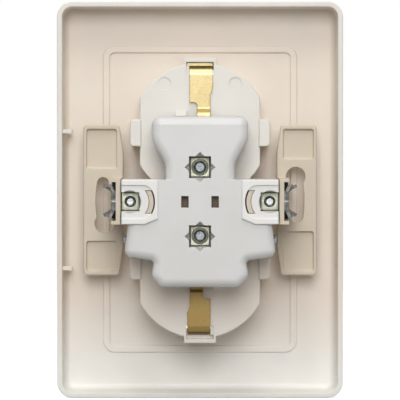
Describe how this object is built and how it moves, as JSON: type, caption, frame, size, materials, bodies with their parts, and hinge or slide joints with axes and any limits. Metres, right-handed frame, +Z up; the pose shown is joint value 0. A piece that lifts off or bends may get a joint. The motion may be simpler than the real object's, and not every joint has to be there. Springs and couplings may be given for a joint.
{
  "type": "double wall socket",
  "caption": "Upright double earthed wall socket with a one-piece ivory cover, two round wells, brass earth contacts and claws that grip the wall box.",
  "frame": {"origin": "centre of the wall plane, where the cover's rim and the bracket's plates touch the wall", "axes": "+Z up along the height, +X to the right seen from the front, +Y into the wall box, front face towards -Y"},
  "size_m": [0.088, 0.0393, 0.122],
  "materials": {
    "ivory_plastic": "satin moulded ivory",
    "beige_plastic": "satin moulded beige",
    "white_plastic": "satin moulded white",
    "inner_plastic": "dark brown moulded sheet",
    "contact_brass": "rolled brass strip",
    "earth_brass": "rolled brass strip, bright",
    "bright_steel": "bright zinc plate",
    "yellow_zinc_steel": "yellow zinc plate",
    "claw_steel": "plain spring steel"
  },
  "bodies": {
    "root": {"cover": "ivory_plastic", "bracket": "beige_plastic", "base": "white_plastic", "contact_cover": "inner_plastic", "phase_busbar": "contact_brass", "neutral_busbar": "contact_brass", "earth_bridge": "earth_brass", "middle_earth_clip": "earth_brass", "upper_cover_screw": "bright_steel", "lower_cover_screw": "bright_steel", "upper_cover_nut": "yellow_zinc_steel", "lower_cover_nut": "yellow_zinc_steel", "phase_terminal_nut": "yellow_zinc_steel", "neutral_terminal_nut": "yellow_zinc_steel"},
    "right_claw_screw": {"right_claw_screw": "bright_steel"},
    "right_claw_nut": {"right_claw_nut": "yellow_zinc_steel"},
    "right_claw": {"right_claw": "claw_steel"},
    "left_claw_screw": {"left_claw_screw": "bright_steel"},
    "left_claw_nut": {"left_claw_nut": "yellow_zinc_steel"},
    "left_claw": {"left_claw": "claw_steel"},
    "phase_clamp_plate": {"phase_clamp_plate": "yellow_zinc_steel"},
    "phase_terminal_screw": {"phase_terminal_screw": "bright_steel"},
    "neutral_clamp_plate": {"neutral_clamp_plate": "yellow_zinc_steel"},
    "neutral_terminal_screw": {"neutral_terminal_screw": "bright_steel"},
    "earth_terminal_screw": {"earth_terminal_screw": "bright_steel"},
    "earth_clamp_nut": {"earth_clamp_nut": "yellow_zinc_steel"}
  },
  "joints": [
    {"name": "right_claw_screw_turn", "type": "hinge", "parent": "root", "child": "right_claw_screw", "pos_m": [0.0209, 0.0087, 0], "axis": [0, 1, 0], "range_deg": [0, 3600]},
    {"name": "right_claw_nut_slide", "type": "slide", "parent": "root", "child": "right_claw_nut", "axis": [0, -1, 0], "range_m": [0, 0.005]},
    {"name": "right_claw_swing", "type": "hinge", "parent": "right_claw_nut", "child": "right_claw", "pos_m": [0.0245, 0.0189, 0], "axis": [0, 0, 1], "range_deg": [0, 25]},
    {"name": "left_claw_screw_turn", "type": "hinge", "parent": "root", "child": "left_claw_screw", "pos_m": [-0.0209, 0.0087, 0], "axis": [0, 1, 0], "range_deg": [0, 3600]},
    {"name": "left_claw_nut_slide", "type": "slide", "parent": "root", "child": "left_claw_nut", "axis": [0, -1, 0], "range_m": [0, 0.005]},
    {"name": "left_claw_swing", "type": "hinge", "parent": "left_claw_nut", "child": "left_claw", "pos_m": [-0.0245, 0.0189, 0], "axis": [0, 0, -1], "range_deg": [0, 25]},
    {"name": "phase_clamp_plate_slide", "type": "slide", "parent": "root", "child": "phase_clamp_plate", "axis": [-1, 0, 0], "range_m": [0, 0.0025]},
    {"name": "phase_terminal_screw_turn", "type": "hinge", "parent": "phase_clamp_plate", "child": "phase_terminal_screw", "pos_m": [0.02, 0.019, -0.0115], "axis": [-1, 0, 0], "range_deg": [0, 1800]},
    {"name": "neutral_clamp_plate_slide", "type": "slide", "parent": "root", "child": "neutral_clamp_plate", "axis": [1, 0, 0], "range_m": [0, 0.0025]},
    {"name": "neutral_terminal_screw_turn", "type": "hinge", "parent": "neutral_clamp_plate", "child": "neutral_terminal_screw", "pos_m": [-0.02, 0.019, -0.0115], "axis": [1, 0, 0], "range_deg": [0, 1800]},
    {"name": "earth_terminal_screw_turn", "type": "hinge", "parent": "root", "child": "earth_terminal_screw", "pos_m": [0, 0.0108, 0.0195], "axis": [0, 1, 0], "range_deg": [0, 2520]},
    {"name": "earth_clamp_nut_slide", "type": "slide", "parent": "root", "child": "earth_clamp_nut", "axis": [0, -1, 0], "range_m": [0, 0.0035]}
  ],
  "couplings": [
    {"joint": "right_claw_screw_turn", "follows": "right_claw_nut_slide", "rad_per_m": 12566},
    {"joint": "right_claw_swing", "follows": "right_claw_nut_slide", "rad_per_m": 87.266},
    {"joint": "left_claw_screw_turn", "follows": "left_claw_nut_slide", "rad_per_m": 12566},
    {"joint": "left_claw_swing", "follows": "left_claw_nut_slide", "rad_per_m": 87.266},
    {"joint": "phase_terminal_screw_turn", "follows": "phase_clamp_plate_slide", "rad_per_m": 12566},
    {"joint": "neutral_terminal_screw_turn", "follows": "neutral_clamp_plate_slide", "rad_per_m": 12566},
    {"joint": "earth_terminal_screw_turn", "follows": "earth_clamp_nut_slide", "rad_per_m": 12566}
  ]
}
